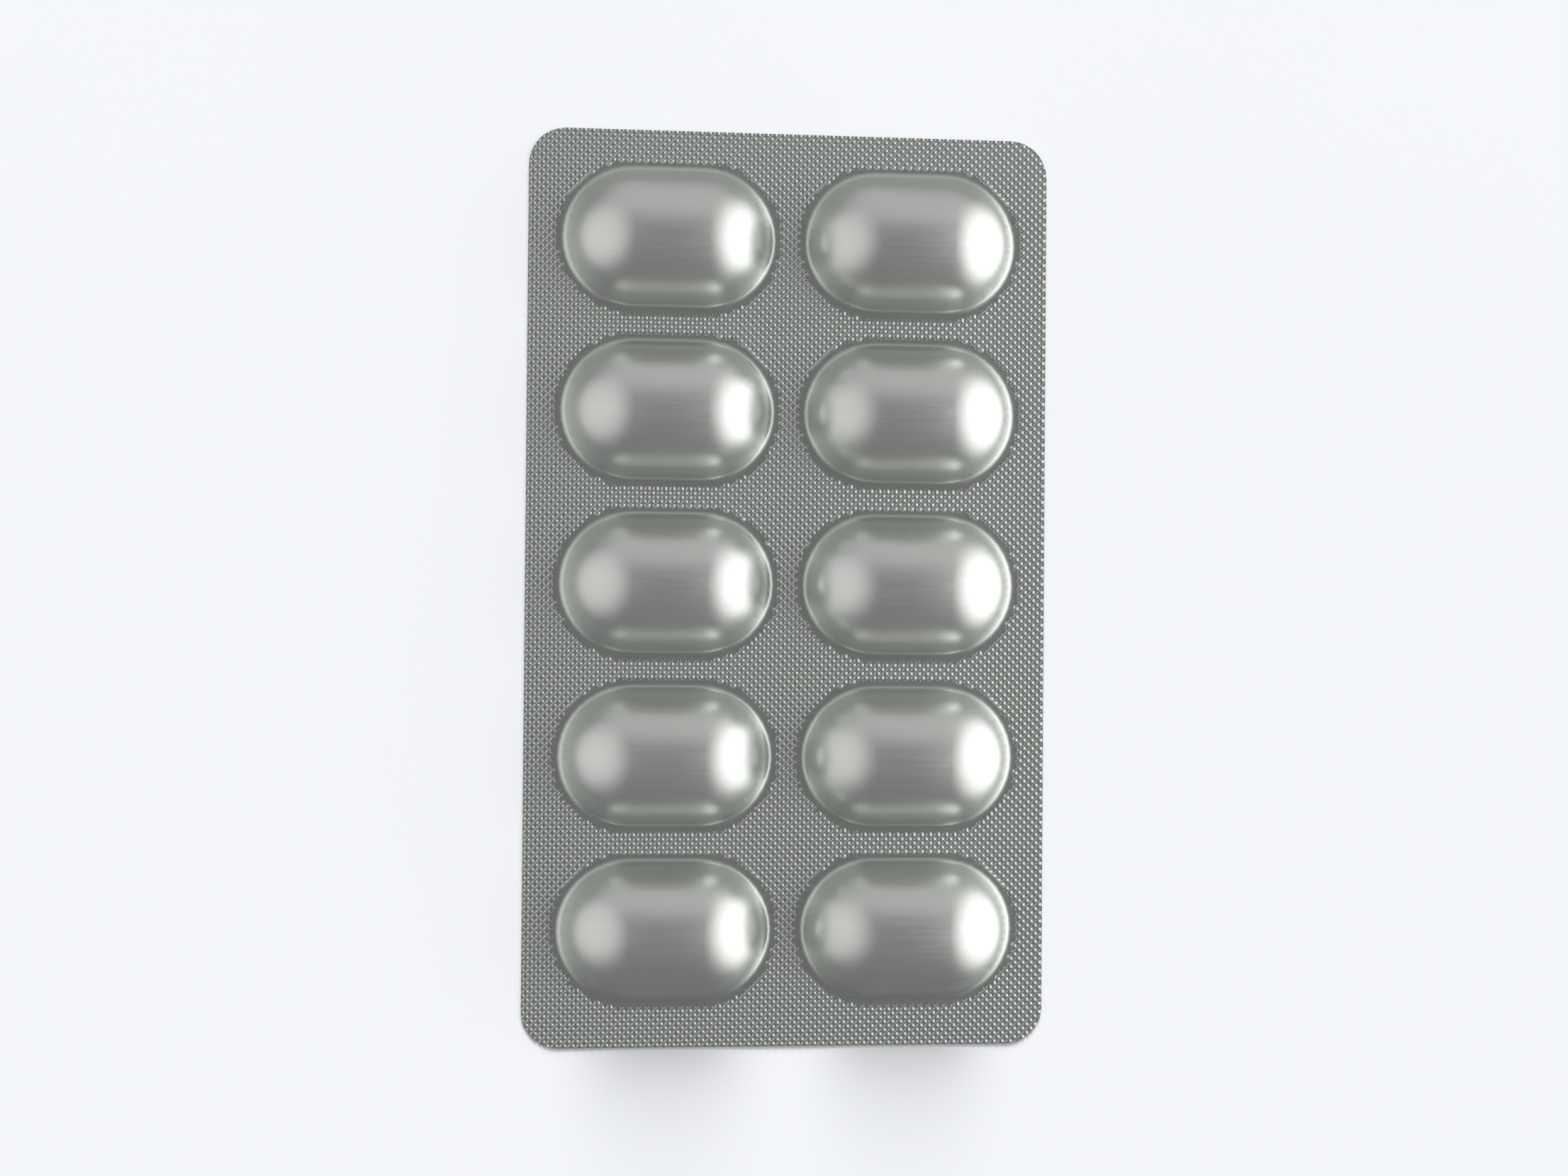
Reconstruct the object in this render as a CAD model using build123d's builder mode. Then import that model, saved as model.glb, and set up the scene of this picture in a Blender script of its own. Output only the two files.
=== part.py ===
"""A pill blister pack: ten caplet pockets cold-formed in aluminium laminate and sealed with lidding foil.

The pack is sealed and can't be seen into, so it is one solid. Sizes are in millimetres. It lies on its
lidding foil with the pockets up: the origin is the centre of the underside, X runs across the pack and
along each pocket, Y runs along the pack from row to row, and Z points up.
"""

import os
from math import cos, radians, sin

from build123d import *

# Layout of the pockets, and the margins of sealed flange around them
columns = 2
rows = 5
column_gap = 3.4
row_gap = 3.35
side_margin = 3.9
front_margin = 5.3
back_margin = 4.3
corner_radius = 4.5

# The flange: formed laminate and lidding foil, sealed together
flange_thickness = 0.2

# One pocket: a straight trough with round ends, which holds one caplet
pocket_length = 25.9
pocket_width = 17.4
pocket_depth = 7.3
wall_draft = 22.0
foot_radius = 0.8

# Sizes that follow
column_pitch = pocket_length + column_gap
row_pitch = pocket_width + row_gap
pack_width = columns * pocket_length + (columns - 1) * column_gap + 2 * side_margin
pack_length = rows * pocket_width + (rows - 1) * row_gap + front_margin + back_margin
rows_centre = (front_margin - back_margin) / 2
trough_length = pocket_length - pocket_width

# A pocket's section is a dome arc, a straight drafted wall and a foot arc, each tangent to the next.
# Its points are given as (distance from the pocket's middle, height), from the foot up to the crown.
foot_reach = pocket_width / 2
pocket_top = flange_thickness + pocket_depth
wall_slope = radians(90 - wall_draft)
radii = (foot_reach * sin(wall_slope) - pocket_depth * cos(wall_slope)) / (1 - cos(wall_slope))
dome_radius = radii - foot_radius
foot_edge = (foot_reach, flange_thickness)
wall_foot = (
    foot_reach - foot_radius * sin(wall_slope),
    flange_thickness + foot_radius * (1 - cos(wall_slope)),
)
wall_top = (
    dome_radius * sin(wall_slope),
    pocket_top - dome_radius * (1 - cos(wall_slope)),
)
crown = (0, pocket_top)


# The pocket: its section runs straight along the trough and turns half a circle at each end
with BuildPart() as pocket:
    with BuildSketch(Plane.YZ) as half_section:
        with BuildLine():
            Line((0, 0), (foot_reach, 0))
            Line((foot_reach, 0), foot_edge)
            RadiusArc(foot_edge, wall_foot, foot_radius)
            Line(wall_foot, wall_top)
            RadiusArc(wall_top, crown, -dome_radius)
            Line(crown, (0, 0))
        make_face()
    extrude(amount=trough_length / 2, both=True)
    mirror(about=Plane.XZ)
    with BuildSketch(Plane.YZ.offset(trough_length / 2)):
        add(half_section.sketch_local)
    revolve(axis=Axis((trough_length / 2, 0, 0), (0, 0, 1)), revolution_arc=-180)
    mirror(about=Plane.YZ)

# The pack: the flange's rounded outline, with every pocket standing on it
with BuildPart() as blister_pack:
    with BuildSketch():
        RectangleRounded(pack_width, pack_length, corner_radius)
    extrude(amount=flange_thickness)
    with Locations((0, rows_centre, 0)):
        with GridLocations(column_pitch, row_pitch, columns, rows):
            add(pocket.part)

blister_pack.part.label = "blister_pack"

os.makedirs("parts", exist_ok=True)
export_step(blister_pack.part, "parts/blister_pack.step")
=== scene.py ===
"""A strip of ten large caplets in a cold-formed aluminium blister pack, lying with its pockets up."""

from math import ceil, cos, hypot, pi, radians, sin, sqrt

import bmesh
import bpy
from mathutils import Matrix, Vector


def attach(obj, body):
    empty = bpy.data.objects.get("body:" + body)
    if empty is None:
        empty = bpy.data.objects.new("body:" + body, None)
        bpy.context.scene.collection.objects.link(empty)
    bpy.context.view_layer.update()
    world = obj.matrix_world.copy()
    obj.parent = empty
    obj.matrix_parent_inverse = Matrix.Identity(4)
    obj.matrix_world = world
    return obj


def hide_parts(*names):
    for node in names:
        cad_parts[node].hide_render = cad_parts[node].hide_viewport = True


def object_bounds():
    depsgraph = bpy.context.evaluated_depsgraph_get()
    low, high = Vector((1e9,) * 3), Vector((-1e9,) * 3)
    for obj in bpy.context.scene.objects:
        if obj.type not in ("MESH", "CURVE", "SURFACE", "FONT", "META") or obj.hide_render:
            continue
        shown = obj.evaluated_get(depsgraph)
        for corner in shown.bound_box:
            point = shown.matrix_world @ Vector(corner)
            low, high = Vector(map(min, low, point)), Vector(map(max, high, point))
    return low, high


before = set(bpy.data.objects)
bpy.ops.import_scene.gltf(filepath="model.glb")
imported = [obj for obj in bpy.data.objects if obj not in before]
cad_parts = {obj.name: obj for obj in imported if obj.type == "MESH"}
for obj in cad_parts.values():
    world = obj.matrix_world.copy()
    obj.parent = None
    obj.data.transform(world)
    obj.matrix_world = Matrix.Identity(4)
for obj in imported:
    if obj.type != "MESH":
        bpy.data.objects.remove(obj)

cad_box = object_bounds()


# --- Formed foil ------------------------------------------------------------------------------------
# The tray of the pack, 0.17 mm of polyamide film, soft aluminium and PVC laminated together. Plungers
# draw it cold into ten pockets, round at both ends and slightly crowned along the top, and a knurled
# plate then seals its flange to the lidding and leaves the rows of dimples that the punch cuts across.

MM = 0.001
pack_width = (cad_box[1].x - cad_box[0].x) / MM
pack_length = (cad_box[1].y - cad_box[0].y) / MM
pocket_top = cad_box[1].z / MM
corner_radius = 4.5
flange_top = 0.2
lidding_thickness = 0.03

columns, rows = 2, 5
pocket_length, pocket_width = 25.9, 17.4
column_pitch, row_pitch = 29.3, 20.75
rows_centre = 0.5
wall_draft = 22.0
foot_radius = 0.8
crown_radius = 35.0

pocket_depth = pocket_top - flange_top
foot_reach = pocket_width / 2
spine = (pocket_length - pocket_width) / 2
slope = radians(90 - wall_draft)
dome_radius = (foot_reach * sin(slope) - pocket_depth * cos(slope)) / (1 - cos(slope)) - foot_radius
pocket_centres = [
    Vector(((i - (columns - 1) / 2) * column_pitch, (j - (rows - 1) / 2) * row_pitch + rows_centre, 0))
    for i in range(columns)
    for j in range(rows)
]


def reach(point):
    """Distance in plan from the nearest pocket's spine, which is foot_reach at the pocket's foot."""
    return min(hypot(max(abs(point.x - c.x) - spine, 0), point.y - c.y) for c in pocket_centres)


def parts(geometry, kind):
    """The vertices, edges or faces among a mixed list of geometry."""
    return [g for g in geometry if isinstance(g, kind)]


def pocket(mesh):
    """Raise one pocket at the origin: its section turned round one end, drawn out and mirrored."""
    foot_steps, dome_steps, turn_steps, trough_steps = 3, 8, 20, 3
    foot = [slope * k / foot_steps for k in range(foot_steps + 1)]
    dome = [slope * (1 - k / dome_steps) for k in range(dome_steps + 1)]
    section = [(foot_reach - foot_radius * sin(a), flange_top + foot_radius * (1 - cos(a))) for a in foot]
    section += [(dome_radius * sin(a), pocket_top - dome_radius * (1 - cos(a))) for a in dome]
    corners = [mesh.verts.new((spine, -distance, height)) for distance, height in section]
    line = [mesh.edges.new(pair) for pair in zip(corners, corners[1:])]
    bmesh.ops.spin(mesh, geom=corners + line, cent=(spine, 0, 0), axis=(0, 0, 1), angle=pi,
                   steps=turn_steps, use_merge=False)
    bmesh.ops.remove_doubles(mesh, verts=mesh.verts, dist=1e-4)
    end = [e for e in mesh.edges if all(abs(v.co.x - spine) < 1e-4 for v in e.verts)]
    for step in range(trough_steps):
        drawn = bmesh.ops.extrude_edge_only(mesh, edges=end)["geom"]
        bmesh.ops.translate(mesh, verts=parts(drawn, bmesh.types.BMVert), vec=(-spine / trough_steps, 0, 0))
        end = parts(drawn, bmesh.types.BMEdge)
        end = [e for e in end if abs(e.verts[0].co.x - e.verts[1].co.x) < 1e-4]
    bmesh.ops.mirror(mesh, geom=mesh.verts[:] + mesh.edges[:] + mesh.faces[:], axis="X", merge_dist=1e-4)
    for v in mesh.verts:
        height = max(v.co.z - flange_top, 0) / pocket_depth
        v.co.z -= v.co.x**2 / (2 * crown_radius) * height**2


foil = bmesh.new()
pocket(foil)
first = foil.verts[:] + foil.edges[:] + foil.faces[:]
for centre in pocket_centres[1:]:
    copy = bmesh.ops.duplicate(foil, geom=first)["geom"]
    bmesh.ops.translate(foil, verts=parts(copy, bmesh.types.BMVert), vec=centre)
bmesh.ops.translate(foil, verts=parts(first, bmesh.types.BMVert), vec=pocket_centres[0])
drawn = set(foil.faces)

# The knurl is a square lattice of dots turned by 45 degrees. The roller isn't in step with the punch,
# so the lattice starts anywhere along the pack, and a narrow band round each pocket stays smooth:
# no dot comes nearer to a pocket than seal_band, and no ground between dots nearer than foot_gap.
knurl_pitch = 1.0
knurl_shift = 0.36
dot_radius = 0.23
dot_floor = 0.10
dot_depth = 0.15
seal_band = 0.13
foot_gap = 0.1

cell = knurl_pitch / sqrt(2)
cells = 2 * ceil((pack_width + pack_length) / sqrt(2) / cell / 2)
ground = bmesh.ops.create_grid(
    foil, x_segments=cells, y_segments=cells, size=cells * cell / 2,
    matrix=Matrix.Translation((0, knurl_shift, flange_top)) @ Matrix.Rotation(pi / 4, 4, "Z"))["verts"]
spare = [
    v for v in ground
    if abs(v.co.x) > pack_width / 2 + knurl_pitch
    or abs(v.co.y) > pack_length / 2 + knurl_pitch
    or reach(v.co) < foot_reach - knurl_pitch
]
bmesh.ops.delete(foil, geom=spare, context="VERTS")
dots = [v for v in ground if v.is_valid and reach(v.co) > foot_reach + seal_band + dot_radius]

# Each corner of the lattice opens into an eight-sided rim, which is rounded up and pressed down.
opened = set(bmesh.ops.bevel(foil, geom=dots, offset=dot_radius, offset_type="OFFSET", segments=2,
                             profile=0.5, affect="VERTICES", material=-1)["faces"])
middles = [
    v for v in {v for f in opened for v in f.verts}
    if len(v.link_faces) == 4 and opened.issuperset(v.link_faces)
]
bmesh.ops.dissolve_verts(foil, verts=middles)
widest_rim = 2.05 * dot_radius
rims = [
    f for f in foil.faces
    if len(f.verts) == 8 and f not in drawn and (f.verts[0].co - f.verts[4].co).length < widest_rim
]
for rim in rims:
    centre = rim.calc_center_median()
    for v in rim.verts:
        v.co = centre + (v.co - centre).normalized() * dot_radius
walls = bmesh.ops.inset_individual(foil, faces=rims, thickness=(dot_radius - dot_floor) * cos(pi / 8),
                                   depth=-dot_depth, use_even_offset=True)["faces"]
for rim in rims:
    for e in rim.edges:
        e.smooth = False
kept = drawn.union(walls, rims)
near_foot = foot_reach + foot_gap
bare = [f for f in foil.faces if f not in kept and any(reach(v.co) < near_foot for v in f.verts)]
bmesh.ops.delete(foil, geom=bare, context="FACES")

# The punch cuts the outline, straight across whatever dots lie on it.
corner_steps = 12
outline = []
for side_x, side_y, start in ((1, 1, 0), (-1, 1, 90), (-1, -1, 180), (1, -1, 270)):
    turn = Vector((side_x * (pack_width / 2 - corner_radius), side_y * (pack_length / 2 - corner_radius), 0))
    for k in range(corner_steps + 1):
        angle = radians(start + 90 * k / corner_steps)
        outline.append(turn + Vector((corner_radius * cos(angle), corner_radius * sin(angle), flange_top)))
corner_area = 2 * corner_radius
for a, b in zip(outline, outline[1:] + outline[:1]):
    near = foil.faces[:]
    if (b - a).length < corner_radius:
        near = [f for f in near if (f.verts[0].co - a).length < corner_area]
    cut = {v for f in near for v in f.verts} | {e for f in near for e in f.edges} | set(near)
    bmesh.ops.bisect_plane(foil, geom=list(cut), dist=1e-6, plane_co=a,
                           plane_no=(b.y - a.y, a.x - b.x, 0), clear_outer=True)

# The smooth bands join the pockets to the dimpled ground, and the cut edge closes the sheet below.
# A crease at the first dots keeps the band flat, and it still runs smoothly into the pocket's foot.
band_limit = foot_reach + seal_band + dot_radius + knurl_pitch + 0.2
inner_x = pack_width / 2 - 1
inner_y = pack_length / 2 - 1
at_pocket = [
    e for e in foil.edges
    if e.is_boundary and reach(e.verts[0].co) < band_limit
    and all(abs(v.co.x) < inner_x and abs(v.co.y) < inner_y for v in e.verts)
]
for e in at_pocket:
    e.smooth = e.link_faces[0] in drawn
bmesh.ops.triangle_fill(foil, use_beauty=True, use_dissolve=False, edges=at_pocket, normal=(0, 0, 1))
edge = bmesh.ops.extrude_edge_only(foil, edges=[e for e in foil.edges if e.is_boundary])["geom"]
for v in parts(edge, bmesh.types.BMVert):
    v.co.z = lidding_thickness
bmesh.ops.contextual_create(foil, geom=parts(edge, bmesh.types.BMEdge))
bmesh.ops.recalc_face_normals(foil, faces=foil.faces)


def add_piece(name, mesh, crease_angle):
    """Turn a bmesh in millimetres into an object in metres, smooth but for its creases."""
    bmesh.ops.scale(mesh, verts=mesh.verts, vec=(MM, MM, MM))
    for face in mesh.faces:
        face.smooth = True
    for e in mesh.edges:
        if e.calc_face_angle(0) > radians(crease_angle):
            e.smooth = False
    data = bpy.data.meshes.new(name)
    mesh.to_mesh(data)
    mesh.free()
    piece = bpy.data.objects.new(name, data)
    bpy.context.scene.collection.objects.link(piece)
    return piece


formed_foil = add_piece("formed_foil", foil, 60)


def colour(code):
    """A sRGB hex colour as the linear values that a shader takes."""
    levels = [int(code[i:i + 2], 16) / 255 for i in (1, 3, 5)]
    return [c / 12.92 if c <= 0.04045 else ((c + 0.055) / 1.055) ** 2.4 for c in levels] + [1]


def new_material(name):
    """An empty material with no nodes, ready for nodes."""
    material = bpy.data.materials.new(name)
    material.use_nodes = True
    material.node_tree.nodes.clear()
    return material


def add_node(tree, kind, inputs=None, **settings):
    """Add a shader node: settings are its properties, and inputs its values or the outputs it reads."""
    node = tree.nodes.new("ShaderNode" + kind)
    for name, value in settings.items():
        setattr(node, name, value)
    for name, value in (inputs or {}).items():
        if isinstance(value, bpy.types.NodeSocket):
            tree.links.new(value, node.inputs[name])
        else:
            node.inputs[name].default_value = value
    return node


# Aluminium under a matt polyamide film: a soft grey metal whose highlights spread into broad
# gradients. Its rolling lines run across the pack, and drawing it leaves the domes faintly rippled,
# like orange peel. The lines are drawn 0.35 mm apart, coarser than real ones, so that they show. The
# flange, which the knurl has pressed, is a little glossier than the domes, and is painted darker as painted
# shade.
rolling_line = 0.35 * MM
rolling_run = 9.0 * MM
peel_size = 1.3 * MM
cloud_size = 14.0 * MM

laminate = new_material("satin_aluminium_laminate")
tree = laminate.node_tree
place = add_node(tree, "TexCoord").outputs["Object"]
height = add_node(tree, "SeparateXYZ", {0: place}).outputs["Z"]
lines = add_node(tree, "Mapping", {"Vector": place, "Scale": (1 / rolling_run, 1 / rolling_line, 1)})
lines = add_node(tree, "TexNoise", {"Vector": lines.outputs[0], "Scale": 1.0, "Detail": 2.0}).outputs[0]
peel = add_node(tree, "TexNoise", {"Vector": place, "Scale": 1 / peel_size, "Detail": 1.0}).outputs[0]
cloud = add_node(tree, "TexNoise", {"Vector": place, "Scale": 1 / cloud_size, "Detail": 3.0}).outputs[0]
domed = add_node(tree, "MapRange", {0: height, 1: flange_top * MM, 2: 2.0 * MM, 3: 0.1, 4: 1.0}).outputs[0]
peel = add_node(tree, "Math", {0: peel, 1: domed}, operation="MULTIPLY").outputs[0]
# This mask covers the flange. There the knurl's pressing lowers the roughness, and the colour is darkened,
# which is painted shade.
flange_gloss_and_shade = add_node(tree, "MapRange", {0: height, 1: 0.25 * MM, 2: 0.5 * MM, 3: 1.0, 4: 0.0}).outputs[0]
tone = add_node(tree, "Mix", {0: cloud, 6: colour("#ebeeea"), 7: colour("#f0f2ee")}, data_type="RGBA")
# The darker colour on the flange is painted shade, not the metal's own colour.
tone = add_node(tree, "Mix", {0: flange_gloss_and_shade, 6: tone.outputs[2], 7: colour("#d4d8d4")}, data_type="RGBA")
gloss = add_node(tree, "MapRange", {0: lines, 1: 0.3, 2: 0.7, 3: 0.36, 4: 0.41}).outputs[0]
gloss = add_node(tree, "Math", {0: flange_gloss_and_shade, 1: -0.08, 2: gloss}, operation="MULTIPLY_ADD").outputs[0]
bump = add_node(tree, "Bump", {"Height": lines, "Distance": 0.0012 * MM}).outputs[0]
bump = add_node(tree, "Bump", {"Height": peel, "Distance": 0.008 * MM, "Normal": bump}).outputs[0]
shader = add_node(tree, "BsdfPrincipled", {
    "Base Color": tone.outputs[2], "Metallic": 1.0, "Roughness": gloss, "Normal": bump})
add_node(tree, "OutputMaterial", {"Surface": shader.outputs[0]})

formed_foil.data.materials.append(laminate)
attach(formed_foil, "root")
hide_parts("blister_pack")


# --- Lidding foil -----------------------------------------------------------------------------------
# The plain sheet that closes the pockets from below: hard aluminium with a heat-seal lacquer, sealed
# all over the flange and punched out with it. The knurl shows through it between the pockets, and it
# lies flat and smooth across the mouth of each pocket.

lid = bmesh.new()
sheet = bmesh.ops.create_grid(lid, x_segments=1, y_segments=1, size=0.5)["verts"]
bmesh.ops.scale(lid, verts=sheet, vec=(pack_width, pack_length, 1))
bmesh.ops.bevel(lid, geom=sheet, offset=corner_radius, offset_type="OFFSET", segments=corner_steps,
                profile=0.5, affect="VERTICES", material=-1)
top = bmesh.ops.extrude_face_region(lid, geom=lid.faces[:])["geom"]
bmesh.ops.translate(lid, verts=parts(top, bmesh.types.BMVert), vec=(0, 0, lidding_thickness))
bmesh.ops.recalc_face_normals(lid, faces=lid.faces)
lidding_foil = add_piece("lidding_foil", lid, 30)

# Bright-rolled hard foil with a clear lacquer: a little glossier and finer than the laminate, with
# the knurl as shallow pips where it is sealed. The pips follow the dots of the formed foil.
hard_foil = new_material("bright_rolled_hard_aluminium")
tree = hard_foil.node_tree
place = add_node(tree, "TexCoord").outputs["Object"]
axes = add_node(tree, "SeparateXYZ", {0: place}).outputs
waves = []
for axis, shift in ((axes["X"], 0), (axes["Y"], -knurl_shift * MM)):
    along = add_node(tree, "Math", {0: axis, 1: shift}, operation="ADD").outputs[0]
    turns = {0: along, 1: 2 * pi / (knurl_pitch * MM)}
    turns = add_node(tree, "Math", turns, operation="MULTIPLY").outputs[0]
    waves.append(add_node(tree, "Math", {0: turns}, operation="COSINE").outputs[0])
pips = add_node(tree, "Math", {0: waves[0], 1: waves[1]}, operation="MULTIPLY").outputs[0]
pips = add_node(tree, "MapRange", {0: pips, 1: 0.2, 2: 1.0}, interpolation_type="SMOOTHSTEP").outputs[0]
# In each pocket's own place, folded into one quarter, the distance from its spine says what is sealed.
to_column = add_node(tree, "Math", {0: axes["X"]}, operation="ABSOLUTE").outputs[0]
to_column = add_node(tree, "Math", {0: to_column, 1: -column_pitch / 2 * MM}, operation="ADD").outputs[0]
to_column = add_node(tree, "Math", {0: to_column}, operation="ABSOLUTE").outputs[0]
past_spine = add_node(tree, "Math", {0: to_column, 1: -spine * MM}, operation="ADD").outputs[0]
past_spine = add_node(tree, "Math", {0: past_spine, 1: 0.0}, operation="MAXIMUM").outputs[0]
to_row = add_node(tree, "Math", {0: axes["Y"], 1: -rows_centre * MM}, operation="ADD").outputs[0]
to_row = add_node(tree, "Math", {0: to_row, 1: row_pitch / 2 * MM}, operation="ADD").outputs[0]
to_row = add_node(tree, "Math", {0: to_row, 1: row_pitch * MM}, operation="FLOORED_MODULO").outputs[0]
to_row = add_node(tree, "Math", {0: to_row, 1: -row_pitch / 2 * MM}, operation="ADD").outputs[0]
plan = add_node(tree, "CombineXYZ", {0: past_spine, 1: to_row}).outputs[0]
distance = add_node(tree, "VectorMath", {0: plan}, operation="LENGTH").outputs["Value"]
sealed = add_node(tree, "MapRange", {
    0: distance, 1: foot_reach * MM, 2: (foot_reach + seal_band) * MM}).outputs[0]
pips = add_node(tree, "Math", {0: pips, 1: sealed}, operation="MULTIPLY").outputs[0]
lines = add_node(tree, "Mapping", {"Vector": place, "Scale": (1 / rolling_run, 1 / rolling_line, 1)})
lines = add_node(tree, "TexNoise", {"Vector": lines.outputs[0], "Scale": 1.0, "Detail": 2.0}).outputs[0]
cloud = add_node(tree, "TexNoise", {"Vector": place, "Scale": 1 / cloud_size, "Detail": 3.0}).outputs[0]
tone = add_node(tree, "Mix", {0: cloud, 6: colour("#dfe0e1"), 7: colour("#e8e8e7")}, data_type="RGBA")
gloss = add_node(tree, "MapRange", {0: lines, 1: 0.3, 2: 0.7, 3: 0.22, 4: 0.28}).outputs[0]
bump = add_node(tree, "Bump", {"Height": lines, "Distance": 0.001 * MM}).outputs[0]
bump = add_node(tree, "Bump", {"Height": pips, "Distance": 0.05 * MM, "Normal": bump}).outputs[0]
shader = add_node(tree, "BsdfPrincipled", {
    "Base Color": tone.outputs[2], "Metallic": 1.0, "Roughness": gloss, "Normal": bump})
add_node(tree, "OutputMaterial", {"Surface": shader.outputs[0]})

lidding_foil.data.materials.append(hard_foil)
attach(lidding_foil, "root")
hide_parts("blister_pack")


# --- Table, light and camera ------------------------------------------------------------------------
# The pack lies by its own weight on a plain white table in a pale studio. A real table would show in
# the foil, but here it is left out of the foil's reflections, which it would make too bright.

table_half = 3.0
table_gap = 2e-5
table_mesh = bmesh.new()
bmesh.ops.create_grid(table_mesh, x_segments=1, y_segments=1, size=table_half,
                      matrix=Matrix.Translation((0, 0, -table_gap)))
data = bpy.data.meshes.new("table")
table_mesh.to_mesh(data)
table_mesh.free()
table = bpy.data.objects.new("table", data)
bpy.context.scene.collection.objects.link(table)
table.visible_glossy = False
white = new_material("matt_white_laminate")
tree = white.node_tree
place = add_node(tree, "TexCoord").outputs["Object"]
cloud = add_node(tree, "TexNoise", {"Vector": place, "Scale": 12.0, "Detail": 2.0}).outputs[0]
tone = add_node(tree, "Mix", {0: cloud, 6: colour("#f4f6fa"), 7: colour("#f6f8fb")}, data_type="RGBA")
shader = add_node(tree, "BsdfPrincipled", {"Base Color": tone.outputs[2], "Roughness": 0.8})
add_node(tree, "OutputMaterial", {"Surface": shader.outputs[0]})
data.materials.append(white)

# A wide low lamp behind the pack lights the table alone, and leaves a faint soft shadow in front.
lamp = bpy.data.objects.new("table_lamp", bpy.data.lights.new("table_lamp", "SUN"))
bpy.context.scene.collection.objects.link(lamp)
lamp.data.energy = 4.0
lamp.data.angle = radians(30)
lamp.rotation_euler = (radians(-67), 0, 0)
lit = bpy.data.collections.new("lit_by_table_lamp")
lit.objects.link(table)
lamp.light_linking.receiver_collection = lit

room = bpy.data.worlds.new("studio")
room.use_nodes = True
bpy.context.scene.world = room
bpy.context.scene.view_settings.view_transform = "Standard"
tree = room.node_tree
tree.nodes.clear()
direction = add_node(tree, "TexCoord").outputs["Generated"]


def towards(azimuth, elevation):
    """The unit vector that points at this place in the room."""
    azimuth, elevation = radians(azimuth), radians(elevation)
    return Vector((cos(elevation) * cos(azimuth), cos(elevation) * sin(azimuth), sin(elevation)))


# The room is evenly grey. A broad window on the right whitens that end of every pocket, the pale wall
# on the left gives the other end a weaker glow, and the back wall lifts the flanks. The front has no
# light of its own. Each light has its azimuth, elevation and the angle over which it fades, in
# degrees, and its strength.
room_light = 0.18
soft_lights = (
    (0, 10, 60, 1.5),
    (180, 25, 55, 0.55),
    (90, 20, 60, 0.3),
)
light = room_light
for azimuth, elevation, fade, strength in soft_lights:
    facing = add_node(tree, "VectorMath", {0: direction, 1: towards(azimuth, elevation)},
                      operation="DOT_PRODUCT").outputs["Value"]
    glow = add_node(tree, "MapRange", {0: facing, 1: cos(radians(fade)), 2: 1.0, 4: strength},
                    interpolation_type="SMOOTHERSTEP").outputs[0]
    light = add_node(tree, "Math", {0: light, 1: glow}).outputs[0]
backdrop = add_node(tree, "Background", {"Color": colour("#ffffff"), "Strength": light})
add_node(tree, "OutputWorld", {"Surface": backdrop.outputs[0]})

camera = bpy.data.objects.new("camera", bpy.data.cameras.new("camera"))
bpy.context.scene.collection.objects.link(camera)
bpy.context.scene.camera = camera
camera.data.sensor_width = 36
camera.data.lens = 54.7
camera.data.clip_start = 0.01
camera.location = (-0.0322, -0.0046, 0.2858)
camera.rotation_euler = (radians(0.885), radians(-6.354), radians(0.461))
